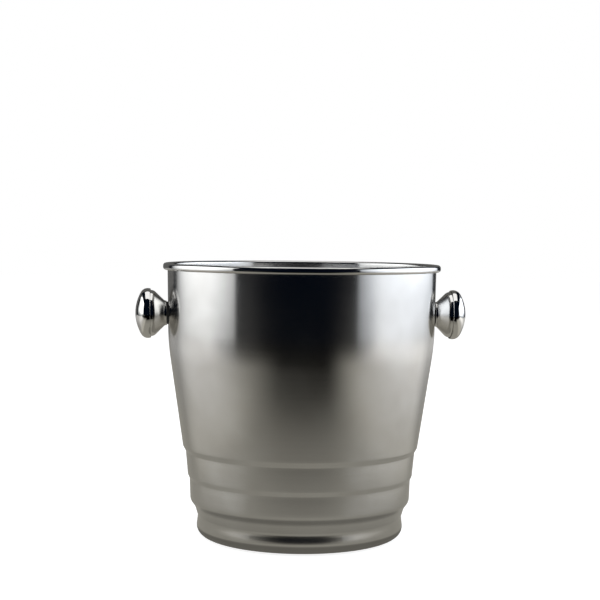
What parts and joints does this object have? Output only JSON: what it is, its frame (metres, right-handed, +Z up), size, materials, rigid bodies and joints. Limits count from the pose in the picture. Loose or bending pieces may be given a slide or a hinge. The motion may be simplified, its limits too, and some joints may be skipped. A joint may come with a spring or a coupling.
{
  "type": "ice bucket",
  "caption": "Stepped satin steel wine and ice bucket with a rolled rim, a waisted foot and a screwed-on hollow round knob at each side.",
  "frame": {"origin": "centre of the standing ring, on the surface that the bucket stands on", "axes": "+Z up along the axis of the bucket; the knobs lie along +X and -X"},
  "size_m": [0.2584, 0.216, 0.212],
  "materials": {
    "satin_steel": "satin, spun lines running round the body, polished rim",
    "polished_chrome": "mirror polished",
    "plated_steel": "bright machined",
    "gasket_rubber": "matte"
  },
  "bodies": {
    "root": {"bucket_body": "satin_steel", "left_knob_cap": "polished_chrome", "left_knob_cone": "polished_chrome", "left_knob_post": "plated_steel", "left_knob_gasket": "gasket_rubber", "left_knob_washer": "plated_steel", "left_knob_lock_washer": "plated_steel", "left_knob_screw": "plated_steel", "right_knob_cap": "polished_chrome", "right_knob_cone": "polished_chrome", "right_knob_post": "plated_steel", "right_knob_gasket": "gasket_rubber", "right_knob_washer": "plated_steel", "right_knob_lock_washer": "plated_steel", "right_knob_screw": "plated_steel"}
  },
  "joints": []
}
